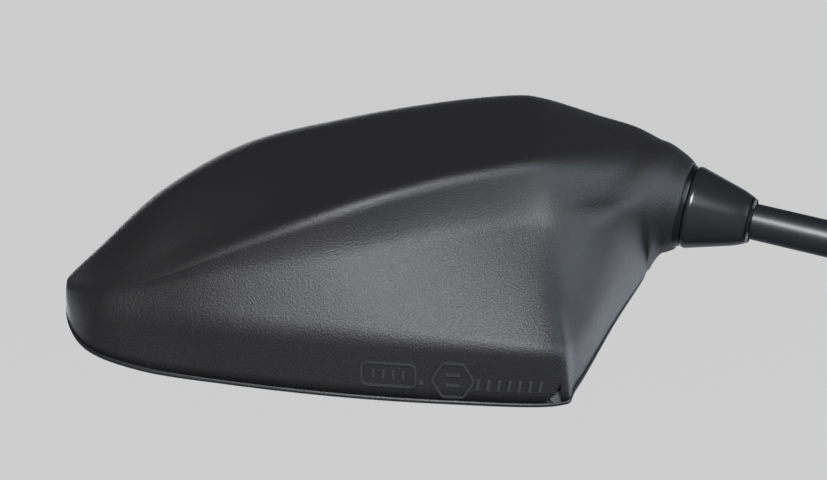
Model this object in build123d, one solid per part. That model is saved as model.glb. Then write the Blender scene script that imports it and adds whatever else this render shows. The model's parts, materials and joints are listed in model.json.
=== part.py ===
from build123d import *

import math
import os

# Motorcycle mirror, right hand. Millimetres. +X outboard, +Y forward (the glass looks back
# along -Y at the rider), +Z up. The origin is on the stud's axis, on the face that the
# washer seats on.

# Arm
ROD_R = 5.5
ROD_BORE_R = 4.0
ROD_BEND_R = 40.0
ROD_RISE = 21.5  # degrees above level, from the bend out to the ball
ROD_FOOT_Z = 10.0
ROD_TOP = -20.0
BALL_X = 105.0
BALL_Z = 123.2
CORNER_Z = BALL_Z - BALL_X * math.tan(math.radians(ROD_RISE))
SLIP = 0.02  # gap in radius of a brazed or pressed joint
RUNNING_GAP = 0.05

# Foot of the arm
STUD_R = 5.0
STUD_LENGTH = 24.0
STUD_NECK_R = 4.6
SPIGOT_LENGTH = 16.0
WASHER_T = 1.6
WASHER_R = 10.0
WASHER_BORE_R = 5.2
NUT_T = 6.0
NUT_AF = 14.0
COLLAR_AF = 17.0
COLLAR_Z = 9.0
COLLAR_TOP_Z = 17.0
COLLAR_MIDDLE_Z = 4.6  # above its foot, where the two end cones meet
COLLAR_FACE_R = 9.0
COLLAR_WIDE_R = 13.6
BOOT_R = 12.2
BOOT_BORE_R = 10.6
BOOT_Z = 0.3
BOOT_SHOULDER_Z = 15.0
BOOT_ROOF_Z = 17.8
BOOT_NECK_Z = 20.0
BOOT_TOP_Z = 27.0
BOOT_TOP_R = 8.6

# Ball joint: distances along the rod's axis are from the ball's centre, outboard positive
BALL_R = 7.0
SHANK_R = 4.0
SHANK_END = -40.0
PIN_R = 1.25
PIN_AT = -25.0
LINER_OUT_R = 8.6
REAR_LINER = (0, 74)  # degrees from the outboard axis
FRONT_LINER = (106, 133)
SOCKET_R = 11.8
CUP_START = 0.2
CUP_STEP = 3.0
CUP_END = 10.0
CUP_END_R = 6.5
CLAMP_START = -7.0
CLAMP_END = -0.2
CLAMP_MOUTH_R = 7.4
CLAMP_THROAT_R = 5.2
CLAMP_THROAT = -4.0
SCREW_CIRCLE_R = 10.3
CLAMP_SCREW_R = 0.85
CLAMP_SCREW_LENGTH = 12.0
CLAMP_HEAD_R = 1.6
CLAMP_HEAD_T = 1.6
CLAMP_SEAT = -5.0
NECK_END = -11.0
NECK_OUT_R = 14.0
NECK_BORE_R = 12.2
RING_SPHERE_R = 17.7
RING_START = -15.5
RING_SLEEVE_END = -8.0
RING_MOUTH_R = 8.6
RING_THROAT_R = 7.2
CONE_SPHERE_R = 18.1
CONE_MOUTH_R = 12.6
CONE_MOUTH = -12.9
CONE_TIP = -31.6
CONE_TIP_R = 7.0
CONE_TIP_ROUND = 2.0
CONE_BORE_END = -19.0
CONE_INNER_MOUTH_R = 11.0

# Head
RIM_Y = -20.0
BEZEL_T = 1.5
SHELL_T = 2.2
GLASS_Y = -18.0
GLASS_T = 2.0
FOAM_T = 0.8
CARRIER_T = 2.5
SEAL_T = 0.8
SEAL_GAP = 0.02
GLASS_INSET = 5.6
LIP_INSET = 8.0
SEAL_IN_INSET = 7.5
FOAM_INSET = 9.5
CARRIER_INSET = 9.0
SKIRT_OUT_INSET = 4.8
SKIRT_IN_INSET = 5.5
SHELL_Y = RIM_Y + BEZEL_T
SEAL_Y = GLASS_Y - SEAL_T
SKIRT_Y = -17.3
FOAM_Y = GLASS_Y + GLASS_T
CARRIER_Y = FOAM_Y + FOAM_T
CARRIER_BACK_Y = CARRIER_Y + CARRIER_T
BRACKET_Y = -8.5
BRACKET_BACK_Y = -6.0
BRACKET_CENTRE = (127.0, 125.0)
BRACKET_WIDTH = 32.0
BRACKET_HEIGHT = 34.0
BRACKET_REACH_R = 60.0
CORNER_R = 5.0
BEYOND = 80.0  # longer than anything it cuts or bounds

# Screws in plastic: posts, pilot holes, clearance holes and heads
POST_R = 3.4
PILOT_R = 1.5
CLEAR_R = 1.7
SCREW_R = 1.45
SCREW_DEPTH = 9.0
HEAD_R = 3.0
HEAD_SINK = 1.5
CARRIER_HEAD_T = 1.4
BRACKET_HEAD_T = 1.8
BRACKET_SCREW_DEPTH = 7.8
SLOT_WIDTH = 0.8
SLOT_DEPTH = 0.5

# Damper weight
WEIGHT_CENTRE = (190.0, 100.0)
WEIGHT_LENGTH = 36.0
WEIGHT_HEIGHT = 24.0
WEIGHT_T = 9.0
WEIGHT_HOLE_R = 2.1
WEIGHT_HEAD_R = 3.8
WEIGHT_HEAD_T = 2.2
WEIGHT_SCREW_DEPTH = 11.0

# The shell's character lines from the neck out to the nose, each point (x, y, z)
NEAR_RIM = [
    (100, -20, 117), (111, -20, 99.5), (123, -20, 76), (131, -20, 60), (137, -20, 53.4),
    (144, -20, 52.8), (168, -20, 54), (200, -20, 57), (232, -20, 62), (257, -20, 67.5),
    (274, -20, 76.6), (282, -20, 90),
]
NEAR_CREASE = [
    (100, -9, 113), (107, -9, 105), (120, -8, 86.5), (131, -7.5, 67), (138, -4, 59.2),
    (150, -2, 58.6), (200, -2, 64), (231, -2.5, 69), (255, -5, 76), (272, -9, 81.3),
    (282, -14, 91.5),
]
LOW_RIDGE = [
    (100, 6, 111), (110, 8.5, 103.6), (123, 14, 96.5), (136, 16.2, 92.8), (147, 16.5, 91.9),
    (172, 15.8, 86.2), (202, 13, 80.4), (230, 7.5, 79.6), (253, -0.3, 80.9),
    (270, -5.5, 84.3), (282, -11, 92.5),
]
VALLEY = [
    (100, 10.8, 115.2), (111, 12.6, 110), (122.5, 16.5, 104.5), (136, 20.8, 98.8),
    (147, 21.6, 96.4), (172, 20.9, 90), (202, 17.5, 83.2), (230, 10, 81.1),
    (253, 1, 81.6), (270, -5, 85.3), (282, -10.6, 93.5),
]
HIGH_RIDGE = [
    (100, 14.6, 121.5), (111, 18, 117.5), (122, 22.9, 112.7), (136, 27.6, 106.4),
    (147, 29.2, 101.9), (172, 28.8, 94.3), (201, 24.3, 86.3), (230, 13.8, 82.8),
    (253, 2.8, 82.3), (270, -4.3, 86.8), (282, -10.2, 94.5),
]
SHOULDER = [
    (100, 16.3, 127.2), (109.5, 19, 129), (121, 22.5, 129.5), (136, 25, 130.5),
    (147, 25.3, 129.3), (171, 25.2, 125.6), (200, 22.7, 117.6), (229, 17.8, 105.7),
    (252, 9.4, 94.4), (270, -1.2, 93), (282, -10, 95.5),
]
CREST = [
    (100, 13.6, 134.6), (108, 16.6, 138.8), (120, 17.8, 144), (136, 19.9, 151.1),
    (147, 20.8, 152.4), (171, 20.4, 148.6), (199, 19.5, 141.6), (228, 17.5, 131.8),
    (252, 12.4, 114.3), (270.5, 0.2, 101.3), (282, -10.5, 96.5),
]
FAR_RIM = [
    (100, -20, 137), (110, -20, 147), (125, -20, 157), (145, -20, 160), (165, -20, 159),
    (190, -20, 154), (215, -20, 147), (238, -20, 138.5), (257, -20, 126), (272, -20, 113),
    (282, -20, 99),
]
LINES = [NEAR_RIM, NEAR_CREASE, LOW_RIDGE, VALLEY, HIGH_RIDGE, SHOULDER, CREST, FAR_RIM]
STATIONS = [100, 106, 113, 120, 127, 133, 138, 148, 165, 185, 205, 222, 238, 252, 264, 274, 282]
HOLLOW_START = 103
HOLLOW_END = 279

CARRIER_SCREWS = [(150, 72), (238, 84), (214, 128), (150, 145)]
BRACKET_SCREWS = [(124, 112), (138, 124), (126, 138)]
WEIGHT_SCREWS = [(178, 100), (202, 100)]

ROD_DIR = Vector(math.cos(math.radians(ROD_RISE)), 0, math.sin(math.radians(ROD_RISE)))
BALL = Vector(BALL_X, 0, BALL_Z)
AXIAL = Plane(origin=BALL, x_dir=(0, 1, 0), z_dir=ROD_DIR)
BOTTOM = (Align.CENTER, Align.CENTER, Align.MIN)


def along(line, x):
    """Height over the line's run: (y, z) at x, through every point with an even slope."""
    last = len(line) - 1
    i = next((k for k in range(last) if x <= line[k + 1][0]), last - 1)
    before, after = line[max(i - 1, 0)], line[min(i + 2, last)]
    start, end = line[i], line[i + 1]
    span = end[0] - start[0]
    t = (x - start[0]) / span
    result = []
    for axis in (1, 2):
        slope_0 = (end[axis] - before[axis]) / (end[0] - before[0]) * span
        slope_1 = (after[axis] - start[axis]) / (after[0] - start[0]) * span
        result.append(
            start[axis] * (2 * t**3 - 3 * t**2 + 1)
            + end[axis] * (3 * t**2 - 2 * t**3)
            + slope_0 * (t**3 - 2 * t**2 + t)
            + slope_1 * (t**3 - t**2)
        )
    return result


def section(x, inset):
    """Closed shell section at x: from the near rim over the back to the far rim."""
    points = [along(line, x) for line in LINES]
    if inset:
        points = inward(points, inset)
        points[0][0] -= inset
        points[-1][0] -= inset
    return Face(Wire.make_polygon([(x, y, z) for y, z in points], close=True))


def inward(points, inset):
    """The same open chain moved towards its inside by inset."""
    moved = []
    for i, (y, z) in enumerate(points):
        y0, z0 = points[max(i - 1, 0)]
        y1, z1 = points[min(i + 1, len(points) - 1)]
        length = math.hypot(y1 - y0, z1 - z0)
        moved.append([y - (z1 - z0) / length * inset, z + (y1 - y0) / length * inset])
    return moved


def pad(outline, inset, y0, y1):
    """A flat slab of the rim's outline, drawn in by inset, from y0 to y1."""
    face = offset(outline, -inset, kind=Kind.INTERSECTION) if inset else outline
    return extrude(Plane.XZ.offset(-y0) * face, y0 - y1)


def rim_outline():
    """The rim's outline as a face in its own plane, x across and z up."""
    middles = [(x0 + x1) / 2 for x0, x1 in zip(STATIONS, STATIONS[1:])]
    steps = sorted(STATIONS + middles)
    lower = [(x, along(NEAR_RIM, x)[1]) for x in steps]
    upper = [(x, along(FAR_RIM, x)[1]) for x in steps]
    return make_face(Polyline(lower + upper[::-1], close=True))


def post(x, z, radius, y0, y1):
    """A round bar along Y."""
    bar = Cylinder(radius, y1 - y0, align=BOTTOM)
    return Plane(origin=(x, y0, z), z_dir=(0, 1, 0)) * bar


def round_bar(radius, start, end):
    """A round bar on the rod's axis."""
    bar = Cylinder(radius, end - start, align=BOTTOM)
    return AXIAL.offset(start) * bar


def round_cone(r_start, r_end, start, end):
    """A tapered bar on the rod's axis."""
    bar = Cone(r_start, r_end, end - start, align=BOTTOM)
    return AXIAL.offset(start) * bar


def ball_of(radius):
    """A ball about the joint's centre."""
    return Pos(*BALL) * Sphere(radius)


def screw(x, z, y_seat, head_r, head_t, shank_r, depth, side):
    """Pan-head screw along Y. side -1: the head is on the glass side, +1: on the back."""
    head_end = y_seat + side * head_t
    tip = y_seat - side * depth
    head = post(x, z, head_r, min(y_seat, head_end), max(y_seat, head_end))
    shank = post(x, z, shank_r, min(y_seat, tip), max(y_seat, tip))
    slot = Pos(x, head_end, z) * Box(head_r, 2 * SLOT_DEPTH, SLOT_WIDTH)
    return head + shank - slot


def back_shell():
    outer = loft([section(x, 0) for x in STATIONS], ruled=False)
    inner_stations = [HOLLOW_START] + STATIONS[1:-1] + [HOLLOW_END]
    inner = loft([section(x, SHELL_T) for x in inner_stations], ruled=False)
    outer += round_bar(NECK_OUT_R, NECK_END, 4)
    hollow = inner + round_bar(NECK_BORE_R, NECK_END - 1, 4)
    shell = outer - hollow
    for screws, y in ((CARRIER_SCREWS, CARRIER_BACK_Y), (BRACKET_SCREWS, BRACKET_BACK_Y)):
        for x, z in screws:
            shell += post(x, z, POST_R, y, BEYOND) & outer
        for x, z in screws:
            shell -= post(x, z, PILOT_R, y - 1, y + SCREW_DEPTH)
    open_side = Pos(190, RIM_Y, 105) * Box(240, 2 * BEZEL_T, 160)
    return shell - open_side


def front_bezel(outline):
    """Rim ring: a lip over the glass, and a skirt that locates it inside the shell."""
    lip = pad(outline, 0, RIM_Y, SHELL_Y) - pad(outline, LIP_INSET, RIM_Y - 1, GLASS_Y)
    seat = pad(outline, GLASS_INSET, SEAL_Y, GLASS_Y)
    skirt = pad(outline, SKIRT_OUT_INSET, SHELL_Y, SKIRT_Y)
    skirt -= pad(outline, SKIRT_IN_INSET, RIM_Y, GLASS_Y + 1)
    return lip - seat + skirt


def glass_seal(outline):
    """Soft flat ring between the bezel's lip and the glass."""
    ring = pad(outline, GLASS_INSET + RUNNING_GAP, SEAL_Y + SEAL_GAP, GLASS_Y)
    return ring - pad(outline, SEAL_IN_INSET, SEAL_Y - 1, GLASS_Y + 1)


def clamp_places():
    """The three clamp screws' places about the rod's axis."""
    return PolarLocations(SCREW_CIRCLE_R, 3, start_angle=30)


def socket_bracket():
    """The moulded cup behind the ball, and the plate that screws it to the shell."""
    cup = round_bar(SOCKET_R, CUP_START, CUP_STEP)
    cup += round_cone(SOCKET_R, CUP_END_R, CUP_STEP, CUP_END)
    x, z = BRACKET_CENTRE
    thickness = BRACKET_BACK_Y - BRACKET_Y
    plate = Pos(x, BRACKET_Y + thickness / 2, z) * Box(BRACKET_WIDTH, thickness, BRACKET_HEIGHT)
    plate = fillet(plate.edges().filter_by(Axis.Y), CORNER_R)
    plate &= round_bar(BRACKET_REACH_R, CUP_START, BEYOND)
    bracket = cup + plate - ball_of(LINER_OUT_R + RUNNING_GAP)
    for place in clamp_places():
        pilot = Cylinder(CLAMP_SCREW_R + RUNNING_GAP, 8, align=BOTTOM)
        bracket -= AXIAL.offset(CUP_START) * place * pilot
    for x, z in BRACKET_SCREWS:
        bracket -= post(x, z, CLEAR_R, BRACKET_Y - 1, BRACKET_BACK_Y + 1)
    return bracket


def clamp_ring():
    """The ring that three screws pull up to hold the ball in its liner."""
    ring = round_bar(SOCKET_R, CLAMP_START, CLAMP_END) - ball_of(LINER_OUT_R + RUNNING_GAP)
    ring -= round_cone(CLAMP_MOUTH_R, CLAMP_THROAT_R, CLAMP_START - 0.01, CLAMP_THROAT)
    for place in clamp_places():
        clear = Cylinder(CLAMP_SCREW_R + 4 * RUNNING_GAP, 8, align=BOTTOM)
        sink = Cylinder(CLAMP_HEAD_R + 3 * RUNNING_GAP, CLAMP_SEAT - CLAMP_START + 1, align=BOTTOM)
        ring -= AXIAL.offset(CLAMP_START - 1) * place * clear
        ring -= AXIAL.offset(CLAMP_START - 1) * place * sink
    return ring


def clamp_screws():
    screws = []
    for place in clamp_places():
        head = Cylinder(CLAMP_HEAD_R, CLAMP_HEAD_T, align=BOTTOM)
        head = AXIAL.offset(CLAMP_SEAT - CLAMP_HEAD_T) * place * head
        shank = Cylinder(CLAMP_SCREW_R, CLAMP_SCREW_LENGTH, align=BOTTOM)
        shank = AXIAL.offset(CLAMP_SEAT) * place * shank
        socket = Box(1.3, 1.3, 1.0, align=BOTTOM)
        socket = AXIAL.offset(CLAMP_SEAT - CLAMP_HEAD_T - 0.1) * place * socket
        screws.append(head + shank - socket)
    return Compound(screws)


def neck_ring():
    """The dark ring between the shell's neck and the cone, round like the joint."""
    sleeve = round_bar(NECK_BORE_R - RUNNING_GAP, NECK_END, RING_SLEEVE_END)
    collar = round_bar(NECK_OUT_R - 0.5, RING_START, NECK_END)
    ring = (sleeve + collar) & ball_of(RING_SPHERE_R)
    return ring - round_cone(RING_MOUTH_R, RING_THROAT_R, RING_START, RING_SLEEVE_END + 0.1)


def seat_liner(start_angle, end_angle):
    """A zone of the spherical liner between two angles from the outboard axis."""
    inner_r = BALL_R + RUNNING_GAP
    sketch = make_face(
        [
            CenterArc((0, 0), inner_r, 90 - start_angle, start_angle - end_angle),
            CenterArc((0, 0), LINER_OUT_R, 90 - start_angle, start_angle - end_angle),
            Line(polar(inner_r, start_angle), polar(LINER_OUT_R, start_angle)),
            Line(polar(inner_r, end_angle), polar(LINER_OUT_R, end_angle)),
        ]
    )
    zone = revolve(Plane.XZ * sketch, Axis.Z)
    return AXIAL * zone


def polar(radius, angle):
    """A point at an angle from the axis, in the liner's half section."""
    return (radius * math.sin(math.radians(angle)), radius * math.cos(math.radians(angle)))


def ball_stud():
    shank = round_bar(SHANK_R - 0.03, SHANK_END, -BALL_R / 2)
    return ball_of(BALL_R) + (shank - cross_bar(PIN_R + SLIP))


def cross_bar(radius):
    """The cross pin's bar, square to the rod under the cone."""
    bar = Cylinder(radius, 2 * ROD_R - 0.2)
    return Plane(origin=BALL + ROD_DIR * PIN_AT, z_dir=(0, 1, 0)) * bar


def cone_cover():
    """The tapered cover on the rod's end, hollowed to the joint's sphere."""
    outside = round_cone(CONE_TIP_R, CONE_MOUTH_R, CONE_TIP, CONE_MOUTH)
    outside = fillet(outside.edges().sort_by_distance(BALL)[-1], CONE_TIP_ROUND)
    bore_r = ROD_R + SLIP
    bore = round_bar(bore_r, CONE_TIP - 1, CONE_BORE_END)
    mouth = round_cone(bore_r, CONE_INNER_MOUTH_R, CONE_BORE_END - 0.01, CONE_MOUTH + 1)
    return outside - bore - mouth - ball_of(CONE_SPHERE_R)


def rod_path(start_z, end_s):
    corner = Vector(0, 0, CORNER_Z)
    path = FilletPolyline((0, 0, start_z), corner, BALL + ROD_DIR * end_s, radius=ROD_BEND_R)
    return path


def arm_rod():
    """The bent tube, with the cross pin's hole."""
    path = rod_path(ROD_FOOT_Z, ROD_TOP)
    foot = Plane.XY.offset(ROD_FOOT_Z)
    rod = sweep(foot * Circle(ROD_R), path=path)
    bore = sweep(foot * Circle(ROD_BORE_R), path=path)
    return rod - bore - cross_bar(PIN_R + SLIP)


def hexagon(flats, z0, z1):
    return Pos(0, 0, z0) * extrude(RegularPolygon(flats / 2, 6, major_radius=False), z1 - z0)


def hex_collar():
    """Spanner collar: a hexagon between two cones that take its corners off."""
    height = COLLAR_TOP_Z - COLLAR_Z
    lower = Cone(COLLAR_FACE_R, COLLAR_WIDE_R, COLLAR_MIDDLE_Z, align=BOTTOM)
    upper = Cone(COLLAR_WIDE_R, COLLAR_FACE_R, height - COLLAR_MIDDLE_Z, align=BOTTOM)
    cones = Pos(0, 0, COLLAR_Z) * lower + Pos(0, 0, COLLAR_Z + COLLAR_MIDDLE_Z) * upper
    collar = hexagon(COLLAR_AF, COLLAR_Z, COLLAR_TOP_Z) & cones
    collar -= Pos(0, 0, ROD_FOOT_Z) * Cylinder(ROD_R + SLIP, height, align=BOTTOM)
    return collar - Pos(0, 0, COLLAR_Z) * Cylinder(STUD_NECK_R, 4)


def threaded_stud():
    """The stud below, a neck through the washer, and a spigot inside the tube."""
    stud = Pos(0, 0, -STUD_LENGTH) * Cylinder(STUD_R, STUD_LENGTH, align=BOTTOM)
    stud += Cylinder(STUD_NECK_R, WASHER_T, align=BOTTOM)
    stud += Pos(0, 0, WASHER_T) * Cylinder(STUD_R, COLLAR_Z - WASHER_T, align=BOTTOM)
    neck_length = ROD_FOOT_Z - COLLAR_Z
    stud += Pos(0, 0, COLLAR_Z) * Cylinder(STUD_NECK_R - RUNNING_GAP, neck_length, align=BOTTOM)
    spigot = Cylinder(ROD_BORE_R - 0.03, SPIGOT_LENGTH, align=BOTTOM)
    return stud + Pos(0, 0, ROD_FOOT_Z) * spigot


def lock_washer():
    washer = Cylinder(WASHER_R, WASHER_T, align=BOTTOM)
    return washer - Cylinder(WASHER_BORE_R, 3 * WASHER_T)


def lock_nut():
    nut = hexagon(NUT_AF, WASHER_T, WASHER_T + NUT_T)
    return nut - Cylinder(STUD_R + RUNNING_GAP, 4 * NUT_T)


def base_boot():
    """Rubber sleeve over the nut and the collar, gripping the rod above them."""
    grip_r = ROD_R + 0.06
    profile = Polyline(
        (BOOT_BORE_R, BOOT_Z),
        (BOOT_R, BOOT_Z),
        (BOOT_R, BOOT_SHOULDER_Z),
        (BOOT_TOP_R, BOOT_TOP_Z),
        (grip_r, BOOT_TOP_Z),
        (grip_r, BOOT_NECK_Z),
        (BOOT_BORE_R, BOOT_ROOF_Z),
        close=True,
    )
    return revolve(Plane.XZ * make_face(profile), Axis.Z)


def damper_weight():
    x, z = WEIGHT_CENTRE
    block = Pos(x, CARRIER_BACK_Y + WEIGHT_T / 2, z) * Box(WEIGHT_LENGTH, WEIGHT_T, WEIGHT_HEIGHT)
    block = fillet(block.edges().filter_by(Axis.Y), CORNER_R)
    for x, z in WEIGHT_SCREWS:
        block -= post(x, z, WEIGHT_HOLE_R, -BEYOND, BEYOND)
    return block


def glass_carrier(outline):
    """The plate behind the glass, with sunk screw heads and the weight's pilot holes."""
    plate = pad(outline, CARRIER_INSET, CARRIER_Y, CARRIER_BACK_Y)
    for x, z in CARRIER_SCREWS:
        plate -= post(x, z, CLEAR_R, -BEYOND, 0)
        plate -= post(x, z, HEAD_R + 0.2, -BEYOND, CARRIER_Y + HEAD_SINK)
    for x, z in WEIGHT_SCREWS:
        plate -= post(x, z, PILOT_R, -BEYOND, 0)
    return plate


def carrier_screw(x, z):
    seat = CARRIER_Y + HEAD_SINK
    return screw(x, z, seat, HEAD_R, CARRIER_HEAD_T, SCREW_R, SCREW_DEPTH, -1)


def bracket_screw(x, z):
    depth = BRACKET_SCREW_DEPTH
    return screw(x, z, BRACKET_Y, HEAD_R, BRACKET_HEAD_T, SCREW_R, depth, -1)


def weight_screw(x, z):
    seat = CARRIER_BACK_Y + WEIGHT_T
    return screw(x, z, seat, WEIGHT_HEAD_R, WEIGHT_HEAD_T, SCREW_R, WEIGHT_SCREW_DEPTH, 1)


def write(name, shape):
    export_step(shape, os.path.join("parts", name + ".step"))


def main():
    os.makedirs("parts", exist_ok=True)
    outline = rim_outline()
    write("back_shell", back_shell())
    write("front_bezel", front_bezel(outline))
    write("mirror_glass", pad(outline, GLASS_INSET, GLASS_Y, FOAM_Y))
    write("glass_seal", glass_seal(outline))
    write("foam_pad", pad(outline, FOAM_INSET, FOAM_Y, CARRIER_Y))
    write("glass_carrier", glass_carrier(outline))
    write("carrier_screws", Compound([carrier_screw(x, z) for x, z in CARRIER_SCREWS]))
    write("damper_weight", damper_weight())
    write("damper_screws", Compound([weight_screw(x, z) for x, z in WEIGHT_SCREWS]))
    write("socket_bracket", socket_bracket())
    write("bracket_screws", Compound([bracket_screw(x, z) for x, z in BRACKET_SCREWS]))
    write("clamp_ring", clamp_ring())
    write("clamp_screws", clamp_screws())
    write("neck_ring", neck_ring())
    write("seat_liner_rear", seat_liner(*REAR_LINER))
    write("seat_liner_front", seat_liner(*FRONT_LINER))
    write("ball_stud", ball_stud())
    write("cone_cover", cone_cover())
    write("arm_rod", arm_rod())
    write("shank_pin", cross_bar(PIN_R))
    write("hex_collar", hex_collar())
    write("threaded_stud", threaded_stud())
    write("lock_washer", lock_washer())
    write("lock_nut", lock_nut())
    write("base_boot", base_boot())


main()
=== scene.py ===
import json
import math

import bmesh
import bpy
import numpy as np
from mathutils import Matrix, Vector


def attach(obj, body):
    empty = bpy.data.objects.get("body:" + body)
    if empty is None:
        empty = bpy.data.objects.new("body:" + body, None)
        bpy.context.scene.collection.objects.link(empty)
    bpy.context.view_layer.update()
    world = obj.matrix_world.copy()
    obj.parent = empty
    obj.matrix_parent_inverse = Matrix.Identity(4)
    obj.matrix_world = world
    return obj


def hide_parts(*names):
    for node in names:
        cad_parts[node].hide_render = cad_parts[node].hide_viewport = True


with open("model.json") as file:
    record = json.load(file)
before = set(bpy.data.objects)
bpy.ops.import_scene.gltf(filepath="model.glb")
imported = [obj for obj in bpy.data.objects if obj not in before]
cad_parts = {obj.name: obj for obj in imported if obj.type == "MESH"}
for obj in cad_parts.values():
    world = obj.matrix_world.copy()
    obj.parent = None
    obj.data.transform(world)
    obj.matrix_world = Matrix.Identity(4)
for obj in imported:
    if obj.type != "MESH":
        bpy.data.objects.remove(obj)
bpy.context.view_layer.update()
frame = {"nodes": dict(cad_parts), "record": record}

MM = 0.001

# Sizes and places in millimetres, in the row frame: +X outboard, +Y forward, +Z up.
BALL = np.array([105.0, 0.0, 123.2])
ROD_RISE = math.radians(21.5)
ROD_DIR = np.array([math.cos(ROD_RISE), 0.0, math.sin(ROD_RISE)])
SIDE = np.array([0.0, 1.0, 0.0])
ACROSS = np.array([-math.sin(ROD_RISE), 0.0, math.cos(ROD_RISE)])
ROD_R = 5.5
ROD_BEND_R = 40.0
ROD_FOOT_Z = 10.0
ROD_TOP = 20.0  # how far short of the ball's centre the rod ends
NECK_START = -11.2
NECK_STOP = -7.5
NECK_SPHERE_R = 17.7
NECK_COUNT = 10
RIM_Y = -20.0
SHELL_RIM_Y = -18.55
SHELL_T = 2.2

# The shell's cage: one row per station from the neck to the nose. Each row goes from the near
# rim up the near wall, over the two ridges and the crest, and down the far wall. The neck's
# circles have one point for each of these nine lines, at the angles in NECK_ANGLES.
NECK_ANGLES = [-150, -108, -64, -27, 8, 34, 62, 105, 158]
CAGE = [
    [(105.2, -20, 110.6), (106.3, -6.4, 104.9), (108.3, 9.5, 105.4), (107, 17.5, 113.9),
     (102.9, 18.6, 124.5), (100, 15.3, 131.9), (97.8, 9.2, 137.3), (97.6, -4.5, 138.2),
     (99.6, -20, 132.6)],
    [(107.4, -20, 105.6), (108.8, -9.4, 103.6), (113, 11, 103.2), (113.5, 16.6, 110.2),
     (111.5, 19.4, 119.2), (109.5, 19, 129), (108, 16.6, 138.8), (108, -1.6, 146.4),
     (107, -20, 145)],
    [(117.8, -20, 86.4), (119.3, -8, 87.9), (123, 14, 96.5), (122.5, 16.5, 104.5),
     (122, 22.9, 112.7), (121, 22.5, 129.5), (120, 17.8, 144), (120, 0, 152),
     (120, -20, 154.5)],
    [(131, -20, 60), (131.6, -8, 66.2), (136, 16.2, 92.8), (136, 20.8, 98.8),
     (136, 27.6, 106.4), (136, 25, 130.5), (136, 19.9, 151.1), (136, 0.4, 157.6),
     (136, -20, 159.5)],
    [(137.3, -20, 53.2), (139.3, -2.8, 58.2), (147, 16.5, 91.9), (147, 21.6, 96.4),
     (147, 29.2, 101.9), (147, 25.3, 129.3), (147, 20.8, 152.4), (147, 1, 158.7),
     (147, -20, 159.8)],
    [(168, -20, 54), (169, -2, 60.4), (172, 15.8, 86.2), (172, 20.9, 90), (172, 28.8, 94.3),
     (171, 25.2, 125.6), (171, 20.4, 148.6), (171, 1, 156.2), (170, -20, 158.3)],
    [(200, -20, 57), (200, -2, 64), (202, 13, 80.4), (201.6, 17.5, 83.2), (201, 24.3, 86.3),
     (200, 22.7, 117.6), (199, 19.5, 141.6), (199, 1, 150.2), (199, -20, 152)],
    [(232, -20, 62), (231, -2.5, 69), (230, 7.5, 79.6), (230, 10, 81.1), (230, 13.8, 82.8),
     (229, 17.8, 105.7), (228, 17.5, 131.8), (229, 1.6, 140.3), (230, -20, 141.5)],
    [(257, -20, 67.5), (255, -5, 76), (253.5, -0.3, 80.9), (253.5, 0.9, 81.6),
     (253.5, 2.7, 82.3), (252.5, 9.3, 94.2), (252, 12.4, 114.3), (254, -1.4, 124.8),
     (256, -20, 126)],
    [(274.4, -20, 77), (272, -9, 81.3), (270, -5.5, 84.3), (270, -5, 85.3),
     (269.6, -4.3, 86.8), (270.5, -1.2, 93), (269.8, 0.4, 101.3), (272, -7.8, 107),
     (276, -20, 108.4)],
    [(281.9, -20, 94), (281.4, -14, 94.2), (281, -11, 94.6), (280.9, -10.6, 94.9),
     (280.8, -10.2, 95.3), (280.8, -9.9, 96), (280.9, -10.3, 96.6), (281.6, -13.5, 97.4),
     (281.9, -20, 98)],
]
# The lines that are picked out by name, as columns of the cage
NEAR_RIM, NEAR_WALL, FAR_WALL, FAR_RIM = 0, 1, 7, 8
# How far each line's corner is rounded, at the neck, near mid length and at the nose
ROUNDING = {
    1: (7.0, 2.6, 5.0), 2: (9.0, 3.0, 3.0), 3: (6.0, 6.0, 3.0), 4: (10.0, 3.2, 4.0),
    5: (14.0, 14.0, 10.0), 6: (13.0, 12.0, 12.0), 7: (12.0, 16.0, 12.0),
}
MID_LENGTH = 0.45
CORNER_SHARE = 0.46  # the most of a facet that the rounding of one corner may take
ROWS_PER_STATION = 12
ARC_STEPS = 8
FLAT_STEPS = 4

# The rim's outline, and how it is drawn in for the bezel and the glass
RIM_POINTS = 360
INSET_POINTS = 720
INSET_KEEP = 0.985  # drawn-in points nearer the rim than this share of the inset are dropped
INSET_PASSES = 4

# The stations that the moulded marks lie between
MARKS_STATION = 4
MARKS_STATIONS = 5

# Hexagons at the foot: flats, bore radius, bottom, top and chamfer radius
COLLAR_HEX = (17.0, ROD_R + 0.02, 9.0, 17.0, 8.4)
NUT_HEX = (14.0, 5.05, 1.6, 7.6, 6.9)
BORE_CHAMFER = 0.6

# The camera, in metres
CAMERA_TARGET = (0.1775, -0.020, 0.1265)
CAMERA_DISTANCE = 0.486
CAMERA_TILT = math.radians(40.0)
CAMERA_LENS = 66.6

# Colours of the room: what is seen behind the object, and what lights it
HORIZON = (0.66, 0.66, 0.66)
ZENITH = (0.60, 0.60, 0.60)
FLOOR = (0.62, 0.62, 0.62)
ROOM = (0.024, 0.026, 0.030)
SHEET = (0.34, 0.37, 0.42)


# ---------------------------------------------------------------- mesh helpers

def mesh_piece(name, verts, faces, material, smooth=True):
    """A mesh object from points in millimetres."""
    mesh = bpy.data.meshes.new(name)
    mesh.from_pydata([tuple(float(c) * MM for c in v) for v in verts], [], faces)
    mesh.validate()
    obj = bpy.data.objects.new(name, mesh)
    bpy.context.scene.collection.objects.link(obj)
    work = bmesh.new()
    work.from_mesh(mesh)
    bmesh.ops.remove_doubles(work, verts=work.verts, dist=1e-7)
    bmesh.ops.recalc_face_normals(work, faces=work.faces)
    work.to_mesh(mesh)
    work.free()
    mesh.polygons.foreach_set("use_smooth", [smooth] * len(mesh.polygons))
    mesh.materials.append(material)
    return obj


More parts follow.
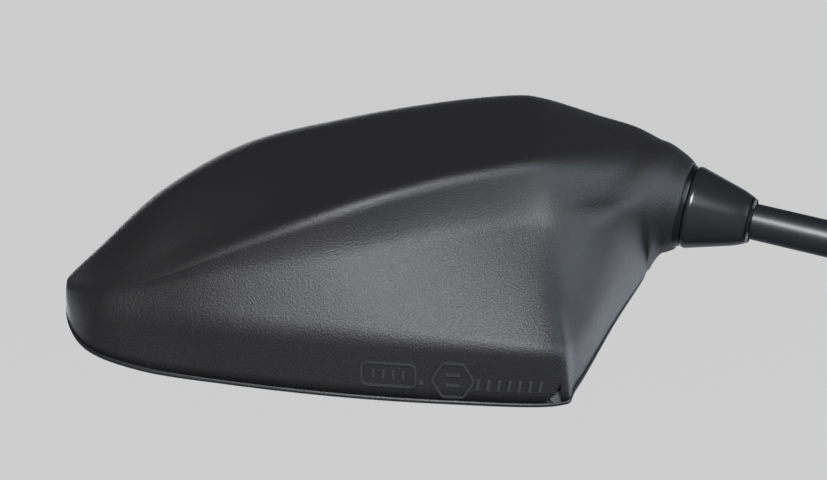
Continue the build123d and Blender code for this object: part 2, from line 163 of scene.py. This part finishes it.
def sharp_edges(obj, degrees):
    """Shades smooth except over edges sharper than this."""
    obj.data.set_sharp_from_angle(angle=math.radians(degrees))


def grid_faces(rows, columns, wrap_rows=False, wrap_columns=False):
    """Quads of a rows x columns grid of points."""
    faces = []
    for i in range(rows if wrap_rows else rows - 1):
        for j in range(columns if wrap_columns else columns - 1):
            i1, j1 = (i + 1) % rows, (j + 1) % columns
            faces.append((i * columns + j, i * columns + j1, i1 * columns + j1, i1 * columns + j))
    return faces


def catmull(before, start, end, after, t):
    """A point between start and end on the smooth line through the four."""
    return 0.5 * (
        2 * start
        + (end - before) * t
        + (2 * before - 5 * start + 4 * end - after) * t**2
        + (3 * start - before - 3 * end + after) * t**3
    )


def lathe(name, profile, origin, axis, side, material, steps=96):
    """A closed profile of (along, radius) points turned about an axis."""
    up = np.cross(axis, side)
    verts = []
    for k in range(steps):
        turn = 2 * math.pi * k / steps
        out = math.cos(turn) * side + math.sin(turn) * up
        verts += [origin + axis * s + out * r for s, r in profile]
    faces = grid_faces(steps, len(profile), wrap_rows=True, wrap_columns=True)
    return mesh_piece(name, verts, faces, material)


def rounded(points, radii, steps=6):
    """A closed outline of 2-D points with each corner rounded by its radius."""
    result = []
    count = len(points)
    for i, radius in enumerate(radii):
        corner = np.array(points[i], float)
        before = np.array(points[i - 1], float) - corner
        after = np.array(points[(i + 1) % count], float) - corner
        if radius == 0:
            result.append(tuple(corner))
            continue
        start = corner + before / np.linalg.norm(before) * radius
        end = corner + after / np.linalg.norm(after) * radius
        for k in range(steps + 1):
            t = k / steps
            point = (1 - t) ** 2 * start + 2 * t * (1 - t) * corner + t**2 * end
            result.append(tuple(point))
    return result


# ---------------------------------------------------------------- materials

def principled(name, color, roughness, **sockets):
    """A material on the Principled shader, and its node tree."""
    material = bpy.data.materials.new(name)
    material.use_nodes = True
    shader = material.node_tree.nodes["Principled BSDF"]
    shader.inputs["Base Color"].default_value = (*color, 1)
    shader.inputs["Roughness"].default_value = roughness
    for socket, value in sockets.items():
        shader.inputs[socket.replace("_", " ")].default_value = value
    return material


def add_bump(material, texture, scale, strength, distance, **settings):
    """Fine relief from a noise or cell texture in object space."""
    tree = material.node_tree
    place = tree.nodes.new("ShaderNodeTexCoord")
    pattern = tree.nodes.new(texture)
    bump = tree.nodes.new("ShaderNodeBump")
    pattern.inputs["Scale"].default_value = scale
    for socket, value in settings.items():
        pattern.inputs[socket].default_value = value
    bump.inputs["Strength"].default_value = strength
    bump.inputs["Distance"].default_value = distance
    tree.links.new(place.outputs["Object"], pattern.inputs["Vector"])
    tree.links.new(pattern.outputs[0], bump.inputs["Height"])
    tree.links.new(bump.outputs["Normal"], tree.nodes["Principled BSDF"].inputs["Normal"])
    return material


def make_materials():
    """Every material, by the name of its slot or by its use."""
    grain = {"Detail": 3.0, "Roughness": 0.6}
    shell = principled("grained_black_plastic", (0.0125, 0.0115, 0.012), 0.42)
    add_bump(shell, "ShaderNodeTexNoise", 2000, 0.62, 0.00028, **grain)
    bezel = principled("satin_black_plastic", (0.014, 0.014, 0.015), 0.4)
    add_bump(bezel, "ShaderNodeTexNoise", 1200, 0.15, 0.0002, **grain)
    rubber = principled("black_rubber", (0.02, 0.02, 0.021), 0.62)
    add_bump(rubber, "ShaderNodeTexNoise", 900, 0.25, 0.0002, **grain)
    steel = principled("plated_steel", (0.58, 0.57, 0.54), 0.3, Metallic=1.0)
    add_bump(steel, "ShaderNodeTexNoise", 700, 0.08, 0.0001, **grain)
    cast = principled("cast_weight", (0.2, 0.2, 0.21), 0.65, Metallic=0.8)
    add_bump(cast, "ShaderNodeTexNoise", 500, 0.4, 0.0003, **grain)
    foam = principled("foam", (0.1, 0.1, 0.11), 0.9)
    add_bump(foam, "ShaderNodeTexVoronoi", 900, 0.5, 0.0003)
    return {
        "shell_plastic": shell,
        "bezel_plastic": bezel,
        "carrier_plastic": principled("carrier_plastic", (0.03, 0.03, 0.032), 0.5),
        # near-black ring plastic, darker than the other black plastics: the ring's own black plus
        # painted shade of the gap between housing and cone
        "ring_plastic": principled("ring_plastic", (0.003, 0.003, 0.003), 0.28),
        "cone_plastic": principled("gloss_black_plastic", (0.012, 0.0125, 0.0135), 0.24),
        "black_paint": principled("gloss_black_paint", (0.010, 0.010, 0.012), 0.4,
                                  Coat_Weight=0.1, Coat_Roughness=0.2),
        # smooth plastic of the raised marks; its base colour, lighter than the shell's, is
        # painted highlight standing in for light caught on the marks
        "moulded_face": principled("smooth_black_plastic_painted_highlight", (0.03, 0.03, 0.031), 0.34),
        "glass_back": principled("glass_back_paint", (0.01, 0.01, 0.01), 0.7),
        "mirror": principled("silvered_glass", (0.86, 0.88, 0.9), 0.0, Metallic=1.0),
        "soft_seal": rubber,
        "boot_rubber": rubber,
        "foam": foam,
        "nylon": principled("natural_nylon", (0.8, 0.78, 0.7), 0.35),
        "plated_steel": steel,
        "cast_weight": cast,
    }


# ---------------------------------------------------------------- shell

def neck_rows():
    """The neck end: circles about the rod's axis on a sphere about the ball."""
    turns = [math.radians(angle) for angle in NECK_ANGLES]
    rows = []
    for at in np.linspace(NECK_START, NECK_STOP, NECK_COUNT):
        radius = math.sqrt(NECK_SPHERE_R**2 - at**2)
        spokes = [math.cos(turn) * SIDE + math.sin(turn) * ACROSS for turn in turns]
        rows.append([BALL + ROD_DIR * at + spoke * radius for spoke in spokes])
    return np.array(rows)


def row_of(station):
    """The index of a station's row, counted from the neck's last circle."""
    return NECK_COUNT - 1 + station * ROWS_PER_STATION


def shell_lines():
    """Every line of the cage as a smooth run of rows from the neck to the nose."""
    neck = neck_rows()
    cage = np.array(CAGE, float)
    reach = np.linalg.norm(cage[0] - neck[-1], axis=1)[:, None]
    step = neck[-2] - neck[-1]
    before = neck[-1] + step / np.linalg.norm(step, axis=1)[:, None] * reach
    after = cage[-2][::-1].copy()
    after[:, 1] = cage[-2][:, 1]
    stations = [before, neck[-1], *cage, after]
    rows = list(neck[:-1])
    for k in range(1, len(stations) - 2):
        for step in range(ROWS_PER_STATION):
            t = step / ROWS_PER_STATION
            rows.append(catmull(*stations[k - 1:k + 3], t))
    rows.append(cage[-1])
    return np.array(rows)


def rounding_at(line, share):
    """The corner's rounding at a share of the way from the neck to the nose."""
    return float(np.interp(share, (0.0, MID_LENGTH, 1.0), ROUNDING[line]))


def shell_row(corners, share):
    """One section: straight facets joined by rounded corners."""
    points = []
    last = corners[0]
    for i in range(NEAR_WALL, FAR_RIM):
        corner = corners[i]
        back, ahead = corners[i - 1] - corner, corners[i + 1] - corner
        reach = rounding_at(i, share)
        start = corner + back * min(CORNER_SHARE, reach / max(np.linalg.norm(back), 1e-6))
        end = corner + ahead * min(CORNER_SHARE, reach / max(np.linalg.norm(ahead), 1e-6))
        points += [last + (start - last) * k / FLAT_STEPS for k in range(FLAT_STEPS)]
        for k in range(ARC_STEPS):
            t = k / ARC_STEPS
            points.append((1 - t) ** 2 * start + 2 * t * (1 - t) * corner + t**2 * end)
        last = end
    points += [last + (corners[FAR_RIM] - last) * k / FLAT_STEPS for k in range(FLAT_STEPS + 1)]
    return points


def shell_surface():
    """The shell's outer skin as a grid of points, and the rim's lines.

    Rows run along the shell and columns round it. The skin stops a little short of the rim,
    where the bezel begins.
    """
    lines = shell_lines()
    rim_lines = lines.copy()
    for rim, wall in ((NEAR_RIM, NEAR_WALL), (FAR_RIM, FAR_WALL)):
        lift = (SHELL_RIM_Y - RIM_Y) / (lines[:, wall, 1] - lines[:, rim, 1])
        lift = np.where(lines[:, rim, 1] < RIM_Y + 0.5, lift, 0.0)
        lines[:, rim] += (lines[:, wall] - lines[:, rim]) * lift[:, None]
    shares = np.linspace(0, 1, len(lines))
    grid = np.array([shell_row(corners, share) for corners, share in zip(lines, shares)])
    return grid, rim_lines


def back_shell(grid, wall, material):
    """The housing: the skin, closed across the neck's mouth, with a wall and the notch."""
    rows, columns = grid.shape[:2]
    faces = grid_faces(rows, columns)
    for i in range(row_of(1)):
        faces.append((i * columns, (i + 1) * columns, (i + 2) * columns - 1,
                      (i + 1) * columns - 1))
    shell = mesh_piece("back_shell_skin", grid.reshape(-1, 3), faces, material)
    solid = shell.modifiers.new("wall", "SOLIDIFY")
    solid.thickness = SHELL_T * MM
    solid.offset = -1.0
    cut_notch(shell, wall)
    return shell


def cut_notch(shell, wall):
    """The small three-cornered drain opening in the near wall at the inboard corner."""
    corners = [(136.0, 0.6), (136.4, 6.6), (140.0, 2.4)]
    verts = [wall.place(a, b, lift) for lift in (-4.0, 1.5) for a, b in corners]
    faces = [(0, 1, 2), (5, 4, 3), (0, 3, 4, 1), (1, 4, 5, 2), (2, 5, 3, 0)]
    cutter = mesh_piece("cutter", verts, faces, shell.data.materials[0], smooth=False)
    opening = shell.modifiers.new("opening", "BOOLEAN")
    opening.object = cutter
    opening.operation = "DIFFERENCE"
    opening.solver = "EXACT"
    final = bpy.data.meshes.new_from_object(
        shell.evaluated_get(bpy.context.evaluated_depsgraph_get())
    )
    shell.modifiers.clear()
    shell.data = final
    bpy.data.objects.remove(cutter)


# ---------------------------------------------------------------- rim, glass

def rim_loop(rim_lines):
    """The rim's closed outline as (x, z) points: near side out to the nose, far side back."""
    first = row_of(1)
    near = rim_lines[first:, NEAR_RIM][:, [0, 2]]
    far = rim_lines[first:, FAR_RIM][::-1][:, [0, 2]]
    return resample(np.vstack([near, far]), RIM_POINTS)


def resample(loop, count):
    """The closed loop again, with evenly spaced points."""
    closed = np.vstack([loop, loop[:1]])
    steps = np.linalg.norm(np.diff(closed, axis=0), axis=1)
    run = np.concatenate([[0], np.cumsum(steps)])
    at = np.linspace(0, run[-1], count, endpoint=False)
    return np.stack([np.interp(at, run, closed[:, k]) for k in (0, 1)], axis=1)


def inset(loop, amount):
    """The loop drawn in by amount, point for point with the loop."""
    tangent = np.roll(loop, -1, axis=0) - np.roll(loop, 1, axis=0)
    tangent /= np.linalg.norm(tangent, axis=1)[:, None]
    moved = loop + np.stack([-tangent[:, 1], tangent[:, 0]], axis=1) * amount
    gaps = np.linalg.norm(moved[:, None] - loop[None], axis=2).min(axis=1)
    kept = resample(moved[gaps > amount * INSET_KEEP], INSET_POINTS)
    nearest = np.linalg.norm(loop[:, None] - kept[None], axis=2).argmin(axis=1)
    result = kept[nearest]
    for _ in range(INSET_PASSES):
        result = (np.roll(result, 1, axis=0) + 2 * result + np.roll(result, -1, axis=0)) / 4
    return result


def ring_from(name, loop, profile, material):
    """A closed ring: profile is (inset, y) points run round the loop."""
    rings = []
    insets = {amount: inset(loop, amount) if amount > 0.01 else loop for amount, _ in profile}
    for amount, y in profile:
        flat = insets[amount]
        rings.append(np.stack([flat[:, 0], np.full(len(flat), y), flat[:, 1]], axis=1))
    verts = np.array(rings).transpose(1, 0, 2).reshape(-1, 3)
    faces = grid_faces(len(loop), len(profile), wrap_rows=True, wrap_columns=True)
    return mesh_piece(name, verts, faces, material)


def slab_from(name, loop, amount, y0, y1, material, back_material):
    """A flat plate with the loop's outline drawn in by amount, painted behind its face."""
    flat = inset(loop, amount)
    count = len(flat)
    verts = [(x, y, z) for y in (y0, y1) for x, z in flat]
    faces = [tuple(range(count)), tuple(range(2 * count - 1, count - 1, -1))]
    faces += [(i, (i + 1) % count, count + (i + 1) % count, count + i) for i in range(count)]
    slab = mesh_piece(name, verts, faces, material, smooth=False)
    slab.data.materials.append(back_material)
    for side in slab.data.polygons:
        side.material_index = int(side.center.y > (y0 + 0.01) * MM)
    return slab


# ---------------------------------------------------------------- moulded marks

class NearWall:
    """The flat wall above the near rim: a is x, b is the height above the rim, mm."""

    def __init__(self, rim_lines):
        first = row_of(MARKS_STATION)
        stretch = slice(first, first + MARKS_STATIONS * ROWS_PER_STATION)
        self.rim = rim_lines[stretch, NEAR_RIM]
        self.crease = rim_lines[stretch, NEAR_WALL]

    def place(self, a, b, lift):
        """The point at a and b, lifted off the wall."""
        low = self.at(self.rim, a)
        high = self.at(self.crease, a)
        tangent = self.at(self.rim, a + 1) - low
        up = (high - low) / np.linalg.norm(high - low)
        out = np.cross(up, tangent)
        out /= np.linalg.norm(out)
        return low + up * b + out * lift * (1 if out[2] < 0 else -1)

    @staticmethod
    def at(line, x):
        """The point on the line at x."""
        return np.array([np.interp(x, line[:, 0], line[:, k]) for k in range(3)])


def raised_band(wall, outline, width, centre, height=0.5):
    """A raised outline on the wall, as points and faces."""
    outline = np.array(outline, float)
    tangent = np.roll(outline, -1, axis=0) - np.roll(outline, 1, axis=0)
    tangent /= np.linalg.norm(tangent, axis=1)[:, None]
    out = np.stack([tangent[:, 1], -tangent[:, 0]], axis=1) * width / 2
    corners = [(out, -0.3), (out * 0.75, height), (-out * 0.75, height), (-out, -0.3)]
    verts = []
    for i in range(len(outline)):
        for shift, lift in corners:
            a, b = outline[i] + shift[i]
            verts.append(wall.place(centre[0] - a, centre[1] + b, lift))
    return verts, grid_faces(len(outline), 4, wrap_rows=True, wrap_columns=True)


def bar_outline(x0, y0, x1, y1, width):
    """The four corners of a straight bar from one point to another."""
    along = np.array([x1 - x0, y1 - y0])
    side = np.array([-along[1], along[0]]) / np.linalg.norm(along) * width / 2
    a, b = np.array([x0, y0]), np.array([x1, y1])
    return [a + side, b + side, b - side, a - side]


def raised_bar(wall, outline, centre, height=0.5):
    """A raised solid bar on the wall, as points and faces."""
    middle = np.mean(outline, axis=0)
    verts = []
    for scale, lift in ((1.0, -0.3), (0.8, height)):
        for point in outline:
            a, b = middle + (point - middle) * scale
            verts.append(wall.place(centre[0] - a, centre[1] + b, lift))
    faces = [(0, 1, 2, 3), (4, 5, 6, 7)]
    faces += [(i, (i + 1) % 4, 4 + (i + 1) % 4, 4 + i) for i in range(4)]
    return verts, faces


def moulded_marks(wall, material):
    """Plain raised shapes where such a housing has its moulded marks."""
    parts = []
    panel = rounded([(-7.6, -3.4), (7.6, -3.4), (7.6, 3.4), (-7.6, 3.4)], [1.8] * 4)
    parts.append(raised_band(wall, panel, 0.7, (184.5, 8.6)))
    for a in (-4.2, -1.4, 1.4, 4.2):
        parts.append(raised_bar(wall, bar_outline(a, -1.5, a, 1.5, 0.9), (184.5, 8.6)))
    hexagon = [(5.9 * math.cos(k * math.pi / 3), 5.9 * math.sin(k * math.pi / 3))
               for k in range(6)]
    parts.append(raised_band(wall, rounded(hexagon, [0.8] * 6, 3), 0.8, (166.5, 8.0)))
    for b in (-1.6, 1.6):
        parts.append(raised_bar(wall, bar_outline(-2.4, b, 2.4, b, 0.9), (166.5, 8.0)))
    parts.append(raised_bar(wall, bar_outline(-0.7, 0, 0.7, 0, 1.4), (175.4, 6.8)))
    for k in range(7):
        a = -8.7 + k * 2.9
        bar = bar_outline(a - 0.3, -1.9, a + 0.3, 1.9, 1.1)
        parts.append(raised_bar(wall, bar, (150.8, 6.9)))
    verts, faces = [], []
    for part_verts, part_faces in parts:
        faces += [tuple(i + len(verts) for i in face) for face in part_faces]
        verts += list(part_verts)
    return mesh_piece("moulded_marks", verts, faces, material, smooth=False)


# ---------------------------------------------------------------- arm

def arm_rod(material):
    """The bent tube: upright, one bend, and straight up to the cone."""
    corner = np.array([0.0, 0.0, BALL[2] - BALL[0] * math.tan(ROD_RISE)])
    turn = math.pi / 2 - ROD_RISE
    reach = ROD_BEND_R * math.tan(turn / 2)
    centre = corner + np.array([ROD_BEND_R, 0, -reach])
    path = [(np.array([0.0, 0.0, ROD_FOOT_Z]), 0.0)]
    steps = 40
    for k in range(steps + 1):
        lean = turn * k / steps
        spoke = np.array([-math.cos(lean), 0, math.sin(lean)])
        path.append((centre + spoke * ROD_BEND_R, lean))
    path.append((BALL - ROD_DIR * ROD_TOP, turn))
    ring_steps = 64
    verts = []
    for point, lean in path:
        across = np.array([math.cos(lean), 0, -math.sin(lean)])
        for k in range(ring_steps):
            a = 2 * math.pi * k / ring_steps
            verts.append(point + ROD_R * (math.cos(a) * across + math.sin(a) * SIDE))
    faces = grid_faces(len(path), ring_steps, wrap_columns=True)
    last = len(verts)
    faces += [tuple(range(ring_steps)), tuple(range(last - ring_steps, last))]
    rod = mesh_piece("arm_rod_skin", verts, faces, material)
    sharp_edges(rod, 40)
    return rod


def cone_cover(material):
    """The flared cone, as (along the rod, radius) points from the ball's centre."""
    profile = rounded(
        [(-12.75, 12.55), (-14.1, 12.7), (-29.6, 8.1), (-31.6, 6.9), (-31.6, ROD_R + 0.02),
         (-20.0, ROD_R + 0.02), (-13.6, 11.6)],
        [0.45, 0.5, 3.0, 1.0, 0.15, 0.2, 0.3],
    )
    return lathe("cone_cover_skin", profile, BALL, ROD_DIR, SIDE, material)


def neck_ring(material):
    """The ring in the mouth of the neck, drawn as the cone is. Its near-black colour is partly
    painted shade of the gap between housing and cone.
    """
    profile = rounded(
        [(-10.6, 12.0), (-10.6, 13.35), (-12.9, 12.1), (-14.6, 9.4), (-9.5, 8.3)],
        [0.2, 0.4, 1.0, 0.4, 0.2],
    )
    return lathe("neck_ring_skin", profile, BALL, ROD_DIR, SIDE, material)


def hex_ring(name, hexagon, material):
    """A hexagon nut or collar with turned chamfers on both ends."""
    flats, bore, z0, z1, chamfer_r = hexagon
    steps = 120
    verts = []
    slope = math.tan(math.radians(30))
    for k in range(steps):
        a = 2 * math.pi * k / steps
        off = (a % (math.pi / 3)) - math.pi / 6
        wall = flats / 2 / math.cos(off)
        drop = max(0.0, wall - chamfer_r) * slope
        face_r = min(wall, chamfer_r)
        profile = [
            (z0 + BORE_CHAMFER, bore), (z0, bore + BORE_CHAMFER), (z0, face_r),
            (z0 + drop, wall), (z1 - drop, wall), (z1, face_r),
            (z1, bore + BORE_CHAMFER), (z1 - BORE_CHAMFER, bore),
        ]
        verts += [(r * math.cos(a), r * math.sin(a), z) for z, r in profile]
    faces = grid_faces(steps, len(profile), wrap_rows=True, wrap_columns=True)
    piece = mesh_piece(name, verts, faces, material)
    sharp_edges(piece, 20)
    return piece


def threaded_stud(material):
    """M10 x 1.25 thread with a chamfered end, and the plain neck above it."""
    pitch, major, minor = 1.25, 5.0, 4.28
    length, rows_per_pitch, steps = 24.0, 10, 72
    rows = int(length / pitch * rows_per_pitch)
    verts = []
    for i in range(rows + 1):
        z = -length + length * i / rows
        end = min(1.0, (z + length) / 1.2)
        for k in range(steps):
            phase = (z / pitch - k / steps) % 1.0
            ridge = 1 - abs(2 * phase - 1)
            crest = min(1.0, max(0.0, (ridge - 0.1) / 0.75))
            r = min(minor + (major - minor) * crest, 4.0 + end)
            r = r if z < -0.6 else min(r, 4.6)
            a = 2 * math.pi * k / steps
            verts.append((r * math.cos(a), r * math.sin(a), z))
    neck = ((0.0, 4.6), (1.6, 4.6), (2.0, 4.95), (9.0, 4.95))
    for z, r in neck:
        for k in range(steps):
            a = 2 * math.pi * k / steps
            verts.append((r * math.cos(a), r * math.sin(a), z))
    faces = grid_faces(rows + 1 + len(neck), steps, wrap_columns=True)
    last = len(verts)
    faces += [tuple(range(steps)), tuple(range(last - steps, last))]
    stud = mesh_piece("threaded_stud_skin", verts, faces, material)
    sharp_edges(stud, 35)
    return stud


def base_boot(material):
    """Rubber sleeve over the nut and collar, with two soft grooves."""
    profile = rounded(
        [(0.3, 10.6), (0.3, 12.2), (5.0, 12.2), (5.6, 11.6), (6.4, 11.6), (7.0, 12.2),
         (15.0, 12.2), (24.6, 8.9), (27.0, 8.6), (27.0, ROD_R + 0.08),
         (20.0, ROD_R + 0.08), (17.8, 10.6)],
        [0.3, 0.5, 0.3, 0.3, 0.3, 0.3, 2.5, 1.2, 0.8, 0.3, 0.3, 0.5],
        5,
    )
    up = np.array([0.0, 0.0, 1.0])
    return lathe("base_boot_skin", profile, np.zeros(3), up, SIDE, material)


# ---------------------------------------------------------------- scene

def add_light(name, aim, direction, distance, size, power, color=(1, 1, 1)):
    """A soft square light that shines on aim from a direction."""
    light = bpy.data.lights.new(name, "AREA")
    light.size = size
    light.energy = power
    light.color = color
    lamp = bpy.data.objects.new(name, light)
    lamp.visible_camera = False
    toward = Vector(direction).normalized()
    lamp.location = Vector(aim) + toward * distance
    lamp.rotation_euler = toward.to_track_quat("Z", "Y").to_euler()
    bpy.context.scene.collection.objects.link(lamp)
    return lamp


def link_all(tree, pairs):
    """Links each pair's first socket to its second."""
    for source, target in pairs:
        tree.links.new(source, target)


def seen_directly(tree):
    """1 for what the camera sees, straight or in the mirror, and 0 for light on the object."""
    path = tree.nodes.new("ShaderNodeLightPath")
    either = tree.nodes.new("ShaderNodeMath")
    either.operation = "MAXIMUM"
    link_all(tree, [
        (path.outputs["Is Camera Ray"], either.inputs[0]),
        (path.outputs["Is Singular Ray"], either.inputs[1]),
    ])
    return either.outputs[0]


def graded(tree, source, low, high, dark, pale):
    """A colour that runs from dark to pale as the source value goes from low to high."""
    spread = tree.nodes.new("ShaderNodeMapRange")
    spread.inputs["From Min"].default_value = low
    spread.inputs["From Max"].default_value = high
    blend = tree.nodes.new("ShaderNodeMix")
    blend.data_type = "RGBA"
    blend.inputs["A"].default_value = (*dark, 1)
    blend.inputs["B"].default_value = (*pale, 1)
    link_all(tree, [
        (source, spread.inputs["Value"]),
        (spread.outputs["Result"], blend.inputs["Factor"]),
    ])
    return blend.outputs["Result"]


def make_world():
    """A pale backdrop for the camera, and a darker room, greyer on the glass side, for light."""
    world = bpy.data.worlds.new("world")
    bpy.context.scene.world = world
    world.use_nodes = True
    tree = world.node_tree
    backdrop = tree.nodes["Background"]
    room = tree.nodes.new("ShaderNodeBackground")
    mix = tree.nodes.new("ShaderNodeMixShader")
    place = tree.nodes.new("ShaderNodeTexCoord")
    axes = tree.nodes.new("ShaderNodeSeparateXYZ")
    link_all(tree, [
        (place.outputs["Generated"], axes.inputs[0]),
        (graded(tree, axes.outputs["Z"], 0.0, 0.9, HORIZON, ZENITH), backdrop.inputs["Color"]),
        (graded(tree, axes.outputs["Y"], 0.05, -0.35, ROOM, SHEET), room.inputs["Color"]),
        (seen_directly(tree), mix.inputs["Fac"]),
        (room.outputs["Background"], mix.inputs[1]),
        (backdrop.outputs["Background"], mix.inputs[2]),
        (mix.outputs["Shader"], tree.nodes["World Output"].inputs["Surface"]),
    ])


def make_floor():
    """A wide floor that the camera sees in one even pale tone, whatever the light."""
    material = principled("floor", (0.3, 0.3, 0.3), 0.9)
    tree = material.node_tree
    pale = tree.nodes.new("ShaderNodeEmission")
    pale.inputs["Color"].default_value = (*FLOOR, 1)
    mix = tree.nodes.new("ShaderNodeMixShader")
    link_all(tree, [
        (seen_directly(tree), mix.inputs["Fac"]),
        (tree.nodes["Principled BSDF"].outputs["BSDF"], mix.inputs[1]),
        (pale.outputs["Emission"], mix.inputs[2]),
        (mix.outputs["Shader"], tree.nodes["Material Output"].inputs["Surface"]),
    ])
    mesh = bpy.data.meshes.new("floor")
    half, level = 12.0, -0.9
    mesh.from_pydata([(-half, -half, level), (half, -half, level), (half, half, level),
                      (-half, half, level)], [], [(0, 1, 2, 3)])
    mesh.materials.append(material)
    floor = bpy.data.objects.new("floor", mesh)
    bpy.context.scene.collection.objects.link(floor)


def make_camera():
    """Looks up at the back of the head from in front and below, 50 degrees off level."""
    target = Vector(CAMERA_TARGET)
    back = Vector((0, math.sin(CAMERA_TILT), -math.cos(CAMERA_TILT)))
    up = Vector((0, math.cos(CAMERA_TILT), math.sin(CAMERA_TILT)))
    right = Vector((-1, 0, 0))
    data = bpy.data.cameras.new("camera")
    data.sensor_width = 36.0
    data.lens = CAMERA_LENS
    data.clip_start = 0.01
    camera = bpy.data.objects.new("camera", data)
    axes = Matrix((right, up, back)).transposed().to_4x4()
    camera.matrix_world = Matrix.Translation(target + back * CAMERA_DISTANCE) @ axes
    bpy.context.scene.collection.objects.link(camera)
    bpy.context.scene.camera = camera


def build_head(materials):
    """The visible pieces that turn with the head."""
    grid, rim_lines = shell_surface()
    loop = rim_loop(rim_lines)
    wall = NearWall(rim_lines)
    shell = back_shell(grid, wall, materials["shell_plastic"])
    marks = moulded_marks(wall, materials["moulded_face"])
    bezel_profile = [
        (0.0, -18.5), (0.0, -19.3), (0.35, -19.85), (1.0, -20.0), (6.2, -19.75),
        (7.0, -19.45), (7.3, -18.9), (7.3, -18.3), (5.0, -18.2), (4.8, -17.3), (3.2, -17.3),
        (3.0, -18.5),
    ]
    bezel = ring_from("front_bezel_skin", loop, bezel_profile, materials["bezel_plastic"])
    glass = slab_from("mirror_glass_plate", loop, 5.6, -18.05, -16.0, materials["mirror"],
                      materials["glass_back"])
    ring = neck_ring(materials["ring_plastic"])
    for piece, node, slot in (
        (shell, "back_shell", "shell_plastic"),
        (bezel, "front_bezel", "bezel_plastic"),
        (glass, "mirror_glass", "mirror"),
        (ring, "neck_ring", "ring_plastic"),
    ):
        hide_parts(node)
        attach(piece, "head")
    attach(marks, "head")


def build_arm(materials):
    """The rod, its cone and everything at its foot."""
    steel = materials["plated_steel"]
    paint = materials["black_paint"]
    for piece, node, body, slot in (
        (arm_rod(paint), "arm_rod", "arm", "black_paint"),
        (cone_cover(materials["cone_plastic"]), "cone_cover", "arm", "cone_plastic"),
        (hex_ring("hex_collar_skin", COLLAR_HEX, paint), "hex_collar", "arm", "black_paint"),
        (threaded_stud(steel), "threaded_stud", "arm", "plated_steel"),
        (hex_ring("lock_nut_skin", NUT_HEX, steel), "lock_nut", "nut", "plated_steel"),
        (base_boot(materials["boot_rubber"]), "base_boot", "boot", "boot_rubber"),
    ):
        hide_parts(node)
        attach(piece, body)


def finish_cad_nodes(materials):
    """Gives every CAD node that stays the material of its own slot."""
    slots = {row["node"]: row["material_slot"] for row in frame["record"]["subparts"]}
    for name, node in frame["nodes"].items():
        node.data.materials.clear()
        node.data.materials.append(materials[slots[name]])


def light_scene():
    """Five soft lamps: where each shines from, how far off, how wide, how strong, what tint."""
    aim = (0.18, 0.0, 0.11)
    add_light("key", aim, (0.02, 0.87, -0.5), 1.1, 0.42, 18.0, (0.97, 0.985, 1.0))
    add_light("cool_side", aim, (-0.85, 0.37, -0.25), 1.1, 0.7, 8.0, (0.72, 0.85, 1.0))
    add_light("sheet_side", aim, (-0.84, -0.42, 0.3), 1.1, 0.7, 3.0, (0.82, 0.9, 1.0))
    add_light("glass_side", aim, (0.25, -0.6, 0.8), 1.8, 1.4, 20.0)
    add_light("outboard", aim, (0.9, -0.5, 0.35), 1.6, 1.0, 2.0)


bpy.context.scene.view_settings.view_transform = "Standard"
make_camera()
make_world()
make_floor()
light_scene()
looks = make_materials()
finish_cad_nodes(looks)
build_head(looks)
build_arm(looks)
